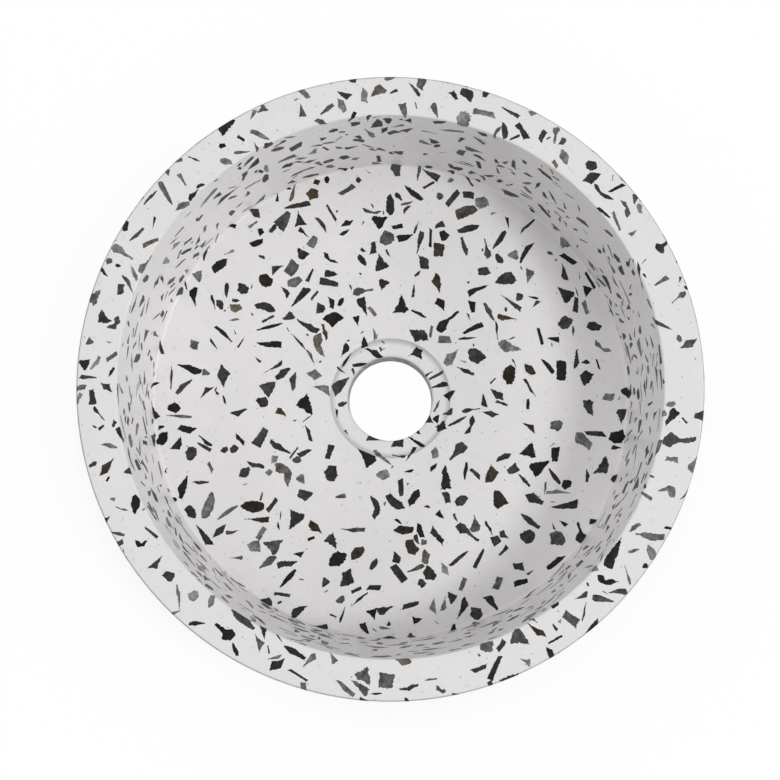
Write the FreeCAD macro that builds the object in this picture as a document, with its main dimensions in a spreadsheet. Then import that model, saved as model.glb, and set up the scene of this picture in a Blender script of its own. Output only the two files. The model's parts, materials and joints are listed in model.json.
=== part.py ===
import FreeCAD, Part
import Sketcher
import math
import os
import random

# Round terrazzo vessel basin: a white cement casting with stone chips bedded in its faces.
# Each coarse chip stands in a fitting pocket of the cement and is ground flush with the face.
# +Z is up, and the origin is at the centre of the foot. Lengths are millimetres, angles degrees.

# Driving dimensions: name, value, meaning
SIZES = (
    ("rim_diameter", 290.0, "outside of the rim"),
    ("rim_width", 19.0, "top of the wall, from the outside to the bowl"),
    ("bowl_depth", 77.0, "rim down to the floor at the wall"),
    ("side_draft", 2.0, "lean of the outside, in towards the foot"),
    ("wall_draft", 1.0, "lean of the bowl's wall, in towards the floor"),
    ("floor_fall", 4.0, "slope of the floor down to the drain"),
    ("drain_diameter", 45.0, "bore for the tail of a waste fitting"),
    ("drain_length", 20.0, "thickness of the base at the drain"),
    ("seat_width", 9.5, "ledge around the drain for the flange of a waste fitting"),
    ("seat_depth", 3.5, "ledge below the floor"),
    ("nut_recess_width", 27.5, "room around the drain for a washer and back nut"),
    ("nut_recess_depth", 7.0, "hollow of the underside above the foot"),
    ("floor_round", 2.5, "hollow corner between wall and floor"),
    ("rim_outer_bevel", 1.0, "edge between rim and outside"),
    ("rim_inner_bevel", 0.8, "edge between rim and bowl"),
    ("seat_bevel", 1.5, "edge between floor and ledge"),
    ("drain_bevel", 1.0, "edge between ledge and drain"),
    ("foot_bevel", 2.0, "edge between outside and foot"),
    ("recess_bevel", 1.5, "edge between foot and nut recess"),
    ("chip_length_least", 7.5, "shortest coarse chip"),
    ("chip_length_most", 12.0, "longest coarse chip"),
    ("chip_depth", 4.0, "chip below the ground face"),
    ("chip_proud", 1.0, "what is ground off a bedded chip"),
    ("chip_gap", 2.0, "least cement between two coarse chips"),
    ("rim_chip_spacing", 37.5, "side of the square of rim that holds one coarse chip"),
    ("floor_chip_spacing", 39.5, "the same on the floor"),
    ("wall_chip_spacing", 47.5, "the same on the bowl's wall"),
    ("side_chip_spacing", 56.0, "the same on the outside"),
)

# Corners of the casting's section before its edges are rounded: radius and height, as expressions
RIM_R = "Sizes.rim_diameter / 2"
BOWL_R = f"({RIM_R} - Sizes.rim_width)"
FLOOR_R = f"({BOWL_R} - Sizes.bowl_depth * tan(Sizes.wall_draft))"
DRAIN_R = "Sizes.drain_diameter / 2"
SEAT_R = f"({DRAIN_R} + Sizes.seat_width)"
RECESS_R = f"({DRAIN_R} + Sizes.nut_recess_width)"
FOOT_Z = "0"
RECESS_Z = "Sizes.nut_recess_depth"
SEAT_Z = f"({RECESS_Z} + Sizes.drain_length)"
SEAT_EDGE_Z = f"({SEAT_Z} + Sizes.seat_depth)"
FLOOR_Z = f"({SEAT_EDGE_Z} + ({FLOOR_R} - {SEAT_R}) * tan(Sizes.floor_fall))"
RIM_Z = f"({FLOOR_Z} + Sizes.bowl_depth)"
FOOT_R = f"({RIM_R} - {RIM_Z} * tan(Sizes.side_draft))"

# The section in order around the cement, which lies to the left of each side
SECTION = (
    ("foot_inner", RECESS_R, FOOT_Z),
    ("foot_outer", FOOT_R, FOOT_Z),
    ("rim_outer", RIM_R, RIM_Z),
    ("rim_inner", BOWL_R, RIM_Z),
    ("floor_outer", FLOOR_R, FLOOR_Z),
    ("seat_edge", SEAT_R, SEAT_EDGE_Z),
    ("seat_corner", SEAT_R, SEAT_Z),
    ("drain_top", DRAIN_R, SEAT_Z),
    ("drain_foot", DRAIN_R, RECESS_Z),
    ("recess_roof", RECESS_R, RECESS_Z),
)

# Corners of the section that an arc rounds, and the size of each
ROUNDS = {"floor_outer": "floor_round"}

# Corners of the section with a small bevel, and the size of each
BEVELS = {
    "foot_inner": "recess_bevel",
    "foot_outer": "foot_bevel",
    "rim_outer": "rim_outer_bevel",
    "rim_inner": "rim_inner_bevel",
    "seat_edge": "seat_bevel",
    "drain_top": "drain_bevel",
}

# Faces with chips: name, the two section corners it runs between, and each stone's share of its chips
FACES = (
    ("side", "foot_outer", "rim_outer", {"black": 0.65, "grey": 0.35}),
    ("rim", "rim_outer", "rim_inner", {"black": 0.6, "grey": 0.4}),
    ("wall", "rim_inner", "floor_outer", {"black": 0.7, "grey": 0.3}),
    ("floor", "floor_outer", "seat_edge", {"black": 0.72, "grey": 0.2, "brown": 0.08}),
)

CHIP_SLENDER = (1.5, 2.7)  # length over width
CHIP_CORNER_COUNTS = (3, 4, 4, 5)
CORNER_JITTER = 0.3  # share of the even angle between two corners
CHIP_TAPER = 0.7  # foot of a chip over its ground face
SEAM_MARGIN = 0.1  # radians kept clear on each side of the line where a round face closes
TRY_COUNT = 400  # places tried for one chip
SEED = 11
TOUCH = 1e-4

FULL_TURN = 2 * math.pi
HORIZONTAL_AXIS = -1
ORIGIN = (-1, 1)
START, END = range(1, 3)  # how a sketch numbers the two ends of a side


def make_sheet(doc):
    """The sheet that holds the driving dimensions."""
    sheet = doc.addObject("Spreadsheet::Sheet", "Sizes")
    for row, (name, value, meaning) in enumerate(SIZES, 1):
        sheet.set(f"A{row}", name)
        sheet.set(f"B{row}", str(value))
        sheet.setAlias(f"B{row}", name)
        sheet.set(f"C{row}", meaning)
    doc.recompute()
    return sheet


def section_corners(sheet):
    """Radius and height of each corner of the section, worked out from the sheet."""
    return {
        name: (float(sheet.evalExpression(radius)), float(sheet.evalExpression(height)))
        for name, radius, height in SECTION
    }


def corner_arc(before, corner, after, radius):
    """The arc that rounds a corner of an outline, from the side before it to the side after it."""
    back = (before - corner).normalize()
    on = (after - corner).normalize()
    half = back.getAngle(on) / 2
    reach = radius / math.tan(half)
    middle = corner + (back + on).normalize() * (radius / math.sin(half) - radius)
    return corner + back * reach, middle, corner + on * reach


def draw_section(sketch, sheet, corners):
    """Draws the half section and ties its corners and arcs to the sheet."""
    count = len(SECTION)
    points = [FreeCAD.Vector(*corners[name], 0) for name, _, _ in SECTION]
    starts = list(points)
    ends = points[1:] + points[:1]
    arcs = {}
    for i, (name, _, _) in enumerate(SECTION):
        if name in ROUNDS:
            radius = getattr(sheet, ROUNDS[name])
            arcs[i] = corner_arc(points[i - 1], points[i], points[(i + 1) % count], radius)
            ends[i - 1] = arcs[i][0]
            starts[i] = arcs[i][2]
    for start, end in zip(starts, ends):
        sketch.addGeometry(Part.LineSegment(start, end), False)
    for i, (name, radius, height) in enumerate(SECTION):
        before = (i - 1) % count
        if i in arcs:
            held = round_corner(sketch, before, i, points[i], arcs[i], ROUNDS[name])
        else:
            sketch.addConstraint(Sketcher.Constraint("Coincident", before, END, i, START))
            held = i
        hold_corner(sketch, held, "DistanceX", points[i].x, f"{name}_radius", radius)
        if height == FOOT_Z:
            sketch.addConstraint(Sketcher.Constraint("PointOnObject", held, START, HORIZONTAL_AXIS))
        else:
            hold_corner(sketch, held, "DistanceY", points[i].y, f"{name}_height", height)


def round_corner(sketch, before, after, corner, arc_points, size):
    """Joins two sides by an arc of a size of the sheet. Returns the point where the sides would meet."""
    arc = sketch.addGeometry(Part.Arc(*arc_points), False)
    first, last = START, END
    if sketch.getPoint(arc, START).distanceToPoint(arc_points[0]) > TOUCH:
        first, last = END, START
    sketch.addConstraint(Sketcher.Constraint("Tangent", before, END, arc, first))
    sketch.addConstraint(Sketcher.Constraint("Tangent", arc, last, after, START))
    radius = sketch.addConstraint(Sketcher.Constraint("Radius", arc, getattr(sketch.Document.Sizes, size)))
    sketch.renameConstraint(radius, size)
    sketch.setExpression(f"Constraints.{size}", f"Sizes.{size}")
    meeting = sketch.addGeometry(Part.Point(corner), True)
    for side in (before, after):
        sketch.addConstraint(Sketcher.Constraint("PointOnObject", meeting, START, side))
    return meeting


def hold_corner(sketch, corner, kind, value, name, expression):
    """Holds one corner at a distance from the origin that follows an expression of the sheet."""
    index = sketch.addConstraint(Sketcher.Constraint(kind, *ORIGIN, corner, START, value))
    sketch.renameConstraint(index, name)
    sketch.setExpression(f"Constraints.{name}", expression)


def ring_edge(shape, radius, height):
    """Name of the circular edge of a shape at a radius and height."""
    for i, edge in enumerate(shape.Edges, 1):
        circle = edge.Curve
        if not isinstance(circle, Part.Circle):
            continue
        if abs(circle.Radius - radius) < TOUCH and abs(circle.Center.z - height) < TOUCH:
            return f"Edge{i}"
    raise ValueError(f"no round edge at radius {radius} and height {height}")


def make_casting(doc, sheet, corners):
    """The whole turned form of the basin, with its edges eased and no chips in it yet."""
    body = doc.addObject("PartDesign::Body", "Casting")
    planes = {feature.Role: feature for feature in body.Origin.OriginFeatures}
    sketch = body.newObject("Sketcher::SketchObject", "Section")
    sketch.AttachmentSupport = (planes["XZ_Plane"], [""])
    sketch.MapMode = "FlatFace"
    draw_section(sketch, sheet, corners)
    turned = body.newObject("PartDesign::Revolution", "Turned")
    turned.Profile = sketch
    turned.ReferenceAxis = (sketch, ["V_Axis"])
    turned.Angle = 360
    doc.recompute()
    last = turned
    for corner, size in BEVELS.items():
        bevel = body.newObject("PartDesign::Chamfer", f"Bevel_{corner}")
        bevel.Base = (last, [ring_edge(last.Shape, *corners[corner])])
        bevel.setExpression("Size", f"Sizes.{size}")
        doc.recompute()
        last = bevel
    body.Placement = FreeCAD.Placement()
    return body


class Face:
    """A round face of the casting between two corners of its section, less the eased edges at its ends."""

    def __init__(self, sheet, corners, start, end):
        from_r, from_z = corners[start]
        to_r, to_z = corners[end]
        whole = math.hypot(to_r - from_r, to_z - from_z)
        self.slope_r = (to_r - from_r) / whole
        self.slope_z = (to_z - from_z) / whole
        eased = {**ROUNDS, **BEVELS}
        start_trim = getattr(sheet, eased[start])
        self.start_r = from_r + start_trim * self.slope_r
        self.start_z = from_z + start_trim * self.slope_z
        self.length = whole - start_trim - getattr(sheet, eased[end])

    def radius(self, along):
        """Radius of the face at a distance from its start."""
        return self.start_r + along * self.slope_r

    def area(self):
        """Area of the face between its eased edges."""
        return FULL_TURN * self.radius(self.length / 2) * self.length

    def directions(self, along, turn):
        """A point of the face with the directions along the section, around the axis and outwards."""
        outwards = FreeCAD.Vector(math.cos(turn), math.sin(turn), 0)
        upwards = FreeCAD.Vector(0, 0, 1)
        point = outwards * self.radius(along) + upwards * (self.start_z + along * self.slope_z)
        section = outwards * self.slope_r + upwards * self.slope_z
        around = upwards.cross(outwards)
        normal = outwards * self.slope_z - upwards * self.slope_r
        return point, section, around, normal


def chip_outline(length, rng):
    """An uneven convex outline with its corners on an ellipse, turned at random."""
    width = length / rng.uniform(*CHIP_SLENDER)
    count = rng.choice(CHIP_CORNER_COUNTS)
    step = FULL_TURN / count
    turn = rng.uniform(0, FULL_TURN)
    first = rng.uniform(0, FULL_TURN)
    outline = []
    for i in range(count):
        angle = first + step * (i + rng.uniform(-CORNER_JITTER, CORNER_JITTER))
        x = length / 2 * math.cos(angle)
        y = width / 2 * math.sin(angle)
        outline.append((x * math.cos(turn) - y * math.sin(turn), x * math.sin(turn) + y * math.cos(turn)))
    return outline


def polygon(points):
    """A flat face with the given corners."""
    return Part.Face(Part.makePolygon(points + points[:1]))


def chip_blank(outline, directions, sheet):
    """A tapered chip that stands proud of its face by what is ground off it later."""
    point, section, around, normal = directions
    depth = sheet.chip_depth
    proud = sheet.chip_proud
    wide = 1 + (1 - CHIP_TAPER) * proud / depth

    def ring(scale, height):
        return [point + section * (u * scale) + around * (v * scale) + normal * height for u, v in outline]

    top = ring(wide, proud)
    foot = ring(CHIP_TAPER, -depth)
    walls = []
    for i in range(len(outline)):
        after = (i + 1) % len(outline)
        walls.append(polygon([top[i], top[after], foot[after], foot[i]]))
    solid = Part.Solid(Part.Shell([polygon(top), polygon(foot)] + walls))
    if solid.Volume < 0:
        solid.reverse()
    return solid


def find_place(face, reach, taken, gap, rng):
    """A free place on a face for a chip that reaches a distance from its middle, or None."""
    widest = max(face.radius(0), face.radius(face.length))
    for _ in range(TRY_COUNT):
        along = rng.uniform(reach, face.length - reach)
        turn = rng.uniform(SEAM_MARGIN, FULL_TURN - SEAM_MARGIN)
        if rng.uniform(0, widest) > face.radius(along):
            continue
        directions = face.directions(along, turn)
        if all(directions[0].distanceToPoint(other) > reach + extent + gap for other, extent in taken):
            return directions
    return None


def bed_chips(face, spacing, shares, sheet, rng):
    """The chip blanks of one face, by stone."""
    count = face.area() / spacing**2
    stones = [stone for stone, share in shares.items() for _ in range(max(1, round(share * count)))]
    rng.shuffle(stones)
    blanks = {stone: [] for stone in shares}
    taken = []
    for stone in stones:
        length = rng.uniform(sheet.chip_length_least, sheet.chip_length_most)
        directions = find_place(face, length / 2, taken, sheet.chip_gap, rng)
        if directions is None:
            continue
        taken.append((directions[0], length / 2))
        blanks[stone].append(chip_blank(chip_outline(length, rng), directions, sheet))
    return blanks


def make_chips(doc, sheet, corners, casting):
    """One group of flush chips for each face and stone, and the blanks that they are ground from."""
    groups = []
    all_blanks = []
    for i, (face_name, start, end, shares) in enumerate(FACES):
        face = Face(sheet, corners, start, end)
        spacing = getattr(sheet, f"{face_name}_chip_spacing")
        for stone, solids in bed_chips(face, spacing, shares, sheet, random.Random(SEED + i)).items():
            name = f"{face_name}_{stone}_chips"
            blanks = doc.addObject("Part::Feature", f"{name}_blanks")
            blanks.Shape = Part.makeCompound(solids)
            blanks.Placement = FreeCAD.Placement()
            chips = doc.addObject("Part::Common", name)
            chips.Base = blanks
            chips.Tool = casting
            chips.Placement = FreeCAD.Placement()
            groups.append(chips)
            all_blanks.append(blanks)
    return groups, all_blanks


def make_cement(doc, casting, all_blanks):
    """The cement of the basin: the casting with a pocket for every chip."""
    bedded = doc.addObject("Part::Compound", "Bedded_chips")
    bedded.Links = all_blanks
    cement = doc.addObject("Part::Cut", "cement_basin")
    cement.Base = casting
    cement.Tool = bedded
    cement.Placement = FreeCAD.Placement()
    return cement


def check_document(doc, nodes, groups, all_blanks):
    """Stops with an error if an object failed, a shape is unsound or a chip was lost."""
    for item in doc.Objects:
        if "Invalid" in item.State or "Error" in item.State:
            raise RuntimeError(f"{item.Label} did not build: {item.State}")
    for node in nodes:
        if node.Shape.isNull() or not node.Shape.isValid():
            raise RuntimeError(f"{node.Label} has no sound shape")
    for chips, blanks in zip(groups, all_blanks):
        if len(chips.Shape.Solids) != len(blanks.Shape.Solids):
            raise RuntimeError(f"{chips.Label} lost a chip")


def main():
    doc = FreeCAD.newDocument("TerrazzoBasin")
    sheet = make_sheet(doc)
    corners = section_corners(sheet)
    casting = make_casting(doc, sheet, corners)
    groups, all_blanks = make_chips(doc, sheet, corners, casting)
    cement = make_cement(doc, casting, all_blanks)
    doc.recompute()
    nodes = [cement] + groups
    check_document(doc, nodes, groups, all_blanks)
    os.makedirs("parts", exist_ok=True)
    for node in nodes:
        node.Shape.exportStep(f"parts/{node.Label}.step")
        print(node.Label, len(node.Shape.Solids), "solids", round(node.Shape.Volume / 1000, 3), "cm3")


main()
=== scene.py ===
import bisect
import json
import math
import random

import bmesh
import bpy
from bpy.props import FloatProperty, FloatVectorProperty, IntProperty, PointerProperty
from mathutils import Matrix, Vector
from mathutils.geometry import convex_hull_2d, delaunay_2d_cdt


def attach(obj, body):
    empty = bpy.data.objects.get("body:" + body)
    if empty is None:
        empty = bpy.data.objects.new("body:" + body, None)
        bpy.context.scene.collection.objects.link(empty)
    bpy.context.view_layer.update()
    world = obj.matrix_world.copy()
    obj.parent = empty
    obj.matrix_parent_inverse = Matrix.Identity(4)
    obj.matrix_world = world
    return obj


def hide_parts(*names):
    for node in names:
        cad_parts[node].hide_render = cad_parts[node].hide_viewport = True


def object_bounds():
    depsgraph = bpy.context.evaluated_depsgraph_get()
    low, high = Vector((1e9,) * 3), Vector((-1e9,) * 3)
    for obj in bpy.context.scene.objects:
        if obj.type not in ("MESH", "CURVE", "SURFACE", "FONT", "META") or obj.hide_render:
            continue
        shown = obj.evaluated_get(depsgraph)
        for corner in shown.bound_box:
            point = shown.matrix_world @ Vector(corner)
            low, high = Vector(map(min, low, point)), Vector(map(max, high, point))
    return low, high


# Round terrazzo vessel basin: a cement casting, stone chips ground flush with it, and fine specks.
# Lengths are metres unless a name says otherwise, and turns are radians about the drain's axis.

bl_info = {
    "name": "Terrazzo Vessel Basin",
    "version": (1, 0, 0),
    "blender": (4, 5, 0),
    "location": "View3D > Sidebar > Basin",
    "description": "Cement casting, bedded stone chips, fine specks and a plain stage for a vessel basin",
    "category": "Object",
}

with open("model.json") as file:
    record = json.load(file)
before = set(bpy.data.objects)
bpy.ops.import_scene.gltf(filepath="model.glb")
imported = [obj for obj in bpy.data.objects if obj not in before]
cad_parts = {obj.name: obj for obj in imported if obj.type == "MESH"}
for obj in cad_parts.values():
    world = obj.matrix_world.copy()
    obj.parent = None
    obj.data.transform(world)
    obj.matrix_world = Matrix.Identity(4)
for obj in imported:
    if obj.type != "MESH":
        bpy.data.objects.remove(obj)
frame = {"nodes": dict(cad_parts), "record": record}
CAD_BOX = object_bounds()
BODY = "root"
MM = 0.001
CM2 = 0.0001
FULL_TURN = 2 * math.pi

SLOT_COLOURS = {slot["slot"]: slot["base_color"] for slot in frame["record"]["materials"]}
DRAIN = next(mount for mount in frame["record"]["mounts"] if mount["name"] == "drain")

# Fineness of the casting's mesh, and the length under which a side counts as none
TURN_STEPS = 360
ARC_STEP = math.radians(9)
ARC_STEPS_LEAST = 2
LEAST_SIDE = 1e-12

# How far past an edge the raw cement of the hidden faces reaches, and the width of the band of painted
# shade along the rim's outer edge
RAW_EDGE = 0.4 * MM
EDGE_SHADE_WIDTH = 0.8 * MM

# The step around the seat gets painted shade and a rougher finish: how far from its top the shade starts,
# is full and ends, and how much it darkens
STEP_SHADE_START = 3.0 * MM
STEP_SHADE_FULL = 1.2 * MM
STEP_SHADE_END = 0.2 * MM
STEP_SHADE_DARK = 0.19

# Painted shade on the flat top of the rim: how far below its top it reaches, and how much darker it makes
# it
RIM_FLAT = 0.4 * MM
RIM_SHADE = 0.06

# Patterns of the cement, as grains on a metre and finer layers, how far each changes its brightness,
# and the middle value of every pattern
CEMENT_CLOUDS = (26.0, 4.0)
CEMENT_PATCHES = (150.0, 3.0)
CEMENT_SAND = (1300.0, 2.0)
CLOUD_TONE = 0.05
PATCH_TONE = 0.05
SAND_TONE = 0.07
PATTERN_MIDDLE = 0.5

# Pinholes: cells on a metre, reach of a hole in its cell, share of cells without one, and how dark one is
PINHOLE_CELLS = 420.0
PINHOLE_REACH = 0.075
PINHOLE_NONE = 0.72
PINHOLE_DARK = 0.3

# Chips that just show through the cement: cells on a metre, share of cells without one, how they fade
# from their middle outwards, how dark they are, and the pattern and reach that make their outline waver
GHOST_CELLS = 190.0
GHOST_NONE = 0.58
GHOST_FADE = ((0.12, 1.0), (0.26, 0.0))
GHOST_DARK = 0.07
GHOST_WAVER = (420.0, 1.0)
GHOST_WAVER_REACH = (MM, MM, MM)

# How dark the painted shade makes the raw cement and the rim's outer edge, and how patchy the edge's shade
# is
RAW_SHADE = 0.2
EDGE_SHADE_DARK = 0.15
EDGE_SHADE_PATCHY = 0.5

# Roughness of the cement, what adds to it, its gloss, its relief, and the strength and depth of that
CEMENT_ROUGH = 0.33
PATCH_ROUGH = 0.08
PINHOLE_ROUGH = 0.3
RAW_ROUGH = 0.5
EDGE_ROUGH = 0.3
STEP_ROUGH = 0.2
CEMENT_GLOSS = 0.42
SAND_RELIEF = 0.5
PATCH_RELIEF = 0.5
PINHOLE_RELIEF = 2.0
CEMENT_BUMP = (0.25, 0.03 * MM)

# Patterns of the stone, as grains on a metre and finer layers, the brightness of its cloudy bands,
# its pale flecks, its roughness, its gloss, and the strength and depth of its relief
STONE_GRAIN = (620.0, 4.0)
STONE_CLOUDS = (260.0, 3.0)
STONE_BANDS = ((0.36, 0.65), (0.66, 1.45))
GRAIN_TONE = 1.6
FLECK_CELLS = 1500.0
FLECK_REACH = 0.16
FLECK_TONE = 0.35
STONE_ROUGH = 0.34
GRAIN_ROUGH = 0.3
STONE_GLOSS = 0.12
STONE_BUMP = (0.3, 0.02 * MM)

# How chips lie on the casting: how far they stand proud and go in, the gap between two, the slope from
# which a face counts as flat, and how near to its face a corner of the part's own chips lies
CHIP_LIFT = 0.03 * MM
CHIP_SINK = 0.8 * MM
CHIP_GAP = 0.25 * MM
FLAT_SLOPE = 0.9
ON_FACE = 0.03 * MM

# The search for free places: cells of its grid, tries for each chip, and steps that add up a face's area
GRID_CELL = 8 * MM
PLACE_TRIES = 300
AREA_STEPS = 40

# Balls that keep a chip's place: how many corners they use, how far out the inner and the outer ones lie,
# and their size as shares of the chip's reach there and of its width
BALL_CORNERS = 12
INNER_BALLS = 0.55
INNER_BALL_SIZE = 0.2
INNER_BALL_LEAST = 0.3
OUTER_BALLS = 0.88
OUTER_BALL_SIZE = 0.12

# How far lines that cut a chip's face pass its edge, how near two corners of a cut are one, in millimetres,
# and within what distance corners of the part's own chips are merged
CUT_MARGIN = MM
CUT_NEARNESS = 1e-6
MERGE_WITHIN = 0.002 * MM

# Forms of chips: share among stubby chips, share among long ones, least and most bend of a side
CHIP_FORMS = {
    "block": (0.54, 0.06, -0.08, 0.11),
    "wedge": (0.36, 0.24, -0.09, 0.08),
    "bar": (0.04, 0.28, -0.07, 0.07),
    "splinter": (0.00, 0.32, -0.10, 0.10),
    "tadpole": (0.01, 0.04, -0.06, 0.08),
    "hook": (0.04, 0.04, -0.08, 0.10),
}

# Slenderness: where chips count as stubby and as long, its middle, its spread and its most
STUBBY = 1.4
LONG = 3.2
SLENDER_MIDDLE = 2.15
SLENDER_SPREAD = 0.5
SLENDER_MOST = 6.5

# Small chips are splinters and large ones blocks: the grain at which a chip is as slender as the middle,
# how fast that falls as the grain grows, and the most that small grains gain
SLENDER_GRAIN = 4.7 * MM
SLENDER_FALL = 0.75
SLENDER_GAIN = 1.3

# The longest chip, and the share of its length by its width that a chip fills
CHIP_LENGTH_MOST = 12.5 * MM
CHIP_FULLNESS = 0.6

# Wear of a chip's outline: distance between its points, bluntness of its corners, raggedness of its sides,
# nicks, how many chips are rougher and by how much, and least and most bend of the part's own chips
SIDE_STEP = 0.8 * MM
BLUNT = 0.16 * MM
BLUNT_SHARE = 0.1
RAGGED = 0.05
NICK_CHANCE = 0.1
NICK_DEPTH = 0.4
ROUGH_CHANCE = 0.22
ROUGH_EDGE = 1.7
COARSE_BEND = (-0.1, 0.03)

# Chips of each face: the section corners it lies between, chips on a square centimetre,
# middle and spread of the side of a square as large as a chip in millimetres, shares of stone,
# and the name of its group of pieces. Below are the least and most of that side
CHIP_FACES = (
    ("foot_inner", "foot_outer", 0.8, 3.3, 1.4, {"black": 0.68, "grey": 0.32}, "base"),
    ("foot_outer", "rim_outer", 1.05, 3.2, 1.4, {"black": 0.66, "grey": 0.34}, "side"),
    ("rim_outer", "rim_inner", 1.07, 3.3, 1.3, {"black": 0.44, "grey": 0.56}, "rim"),
    ("rim_inner", "floor_outer", 0.95, 3.5, 1.4, {"black": 0.7, "grey": 0.3}, "wall"),
    ("floor_outer", "seat_edge", 0.82, 4.1, 1.85, {"black": 0.765, "grey": 0.21, "brown": 0.025}, "floor"),
    ("seat_edge", "drain_top", 1.6, 3.6, 1.4, {"black": 0.8, "grey": 0.2}, "base"),
    ("drain_top", "drain_foot", 1.2, 3.0, 1.3, {"black": 0.75, "grey": 0.25}, "base"),
    ("drain_foot", "foot_inner", 0.8, 3.2, 1.4, {"black": 0.7, "grey": 0.3}, "base"),
)
GRAIN_LEAST = 1.1
GRAIN_MOST = 7.0

# Least and most brightness of a stone's chips over the stone's own colour
STONE_TONES = {"black": (0.3, 1.45), "grey": (0.45, 1.55), "brown": (0.4, 1.0)}

# Some chips of every stone have a warm cast, between olive and brown
WARM_CHANCE = 0.2
WARM_LEAST = 0.3
WARM = (0.96, 0.83, 0.6, 1.0)

# Lamps: name, share of a full light level, compass angle and height angle in degrees, side of the lamp
LAMPS = (
    ("key", 0.34, -16, 64, 0.7),
    ("right", 0.30, -9, 28, 1.2),
    ("front", 0.07, 290, 34, 1.5),
    ("back", 0.19, 132, 38, 1.5),
    ("left", 0.14, 203, 47, 1.5),
    ("top", 0.175, 130, 76, 2.0),
)
MIRRORED_LAMP = "right"

# Specks: most on a square metre, width over length, brightness, and sides and thickness of each
SPECK_DENSITY = 14000.0
SPECK_SLIM = (0.25, 0.9)
SPECK_TONES = (0.6, 3.4)
SPECK_SIDES = 5
SPECK_THICKNESS = 0.04 * MM

# The floor: half its side, how far under the foot it lies, paint that lights the basin, paint that the
# camera sees, and how far a glow hides its shadow, as pairs of distance from the drain's axis in metres
# and share: most under the drain and far away
FLOOR_REACH = 3.0
FLOOR_BELOW = 0.2 * MM
FLOOR_PAINT = (0.3, 0.3, 0.3, 1)
FLOOR_SEEN = (0.98, 0.98, 0.98, 1)
FLOOR_GLOW = ((0.035, 0.98), (0.06, 0.65), (0.145, 0.65), (0.18, 0.95), (0.25, 0.985), (0.6, 1.0))
WHITE = (1, 1, 1, 1)

# Distance of the lamps, their power for a full light level, how the light from low down fades with the rise
# of its direction, and the width of the camera's sensor
LAMP_DISTANCE = 3.0
FULL_LEVEL_WATTS = 88.8
HORIZON_FADE = ((0.3, 1.0), (0.55, 0.0))
SENSOR_MM = 36.0


class BasinSizes(bpy.types.PropertyGroup):
    """Sizes of the casting."""

    rim_diameter: FloatProperty(
        name="Rim Diameter", description="Outside of the rim", default=0.290, unit="LENGTH"
    )
    height: FloatProperty(name="Height", description="Foot to rim", default=CAD_BOX[1][2], unit="LENGTH")
    rim_width: FloatProperty(
        name="Rim Width", description="Top of the wall", default=0.019, unit="LENGTH"
    )
    bowl_depth: FloatProperty(
        name="Bowl Depth", description="Rim down to the floor at the wall", default=0.077, unit="LENGTH"
    )
    side_draft: FloatProperty(
        name="Side Draft", description="Lean of the outside", default=math.radians(2), unit="ROTATION"
    )
    wall_draft: FloatProperty(
        name="Wall Draft", description="Lean of the bowl's wall", default=math.radians(1), unit="ROTATION"
    )
    drain_radius: FloatProperty(
        name="Drain Radius", description="Bore of the drain",
        default=DRAIN["dims"]["r_mm"] * MM, unit="LENGTH",
    )
    seat_width: FloatProperty(
        name="Seat Width", description="Ledge around the drain", default=0.0095, unit="LENGTH"
    )
    seat_height: FloatProperty(
        name="Seat Height", description="Foot to the ledge around the drain", default=0.027, unit="LENGTH"
    )
    seat_depth: FloatProperty(
        name="Seat Depth", description="Ledge below the floor", default=0.0035, unit="LENGTH"
    )
    recess_width: FloatProperty(
        name="Recess Width", description="Room around the drain under the base",
        default=0.0275, unit="LENGTH",
    )
    recess_depth: FloatProperty(
        name="Recess Depth", description="Hollow of the underside", default=0.007, unit="LENGTH"
    )
    floor_round: FloatProperty(
        name="Floor Round", description="Hollow corner between wall and floor",
        default=0.0016, unit="LENGTH",
    )
    rim_outer_round: FloatProperty(
        name="Outer Rim Round", description="Edge between rim and outside", default=0.0014, unit="LENGTH"
    )
    rim_inner_round: FloatProperty(
        name="Inner Rim Round", description="Edge between rim and bowl", default=0.0009, unit="LENGTH"
    )
    seat_round: FloatProperty(
        name="Seat Round", description="Edge between floor and ledge", default=0.0009, unit="LENGTH"
    )
    seat_hollow: FloatProperty(
        name="Seat Hollow", description="Hollow corner at the foot of the ledge's step",
        default=0.0042, unit="LENGTH",
    )
    seat_lean: FloatProperty(
        name="Seat Lean", description="How far the ledge's step leans inwards",
        default=0.0014, unit="LENGTH",
    )
    drain_round: FloatProperty(
        name="Drain Round", description="Upper edge of the drain", default=0.0014, unit="LENGTH"
    )
    foot_round: FloatProperty(
        name="Foot Round", description="Edges of the foot", default=0.002, unit="LENGTH"
    )
    hidden_round: FloatProperty(
        name="Hidden Round", description="Edges inside the recess", default=0.0005, unit="LENGTH"
    )


class BasinLooks(bpy.types.PropertyGroup):
    """Colours and mix of the terrazzo."""

    cement: FloatVectorProperty(
        name="Cement", description="Colour of the binder",
        default=SLOT_COLOURS["white_cement"], subtype="COLOR",
    )
    black: FloatVectorProperty(
        name="Black Stone", description="Colour of dark chips",
        default=SLOT_COLOURS["black_stone"], subtype="COLOR",
    )
    grey: FloatVectorProperty(
        name="Grey Stone", description="Colour of paler chips",
        default=SLOT_COLOURS["grey_stone"], subtype="COLOR",
    )
    brown: FloatVectorProperty(
        name="Brown Stone", description="Colour of rusty chips",
        default=SLOT_COLOURS["brown_stone"], subtype="COLOR",
    )
    chip_density: FloatProperty(
        name="Chip Density", description="Number of chips over the usual number", default=1.0, min=0.0
    )
    speck_spacing: FloatProperty(
        name="Speck Spacing", description="Least distance between two specks",
        default=0.005, unit="LENGTH",
    )
    speck_least: FloatProperty(
        name="Least Speck", description="Length of the smallest speck", default=0.0002, unit="LENGTH"
    )
    speck_most: FloatProperty(
        name="Largest Speck", description="Length of the largest speck", default=0.0009, unit="LENGTH"
    )
    seed: IntProperty(name="Seed", description="Scatter of the chips", default=61)


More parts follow.
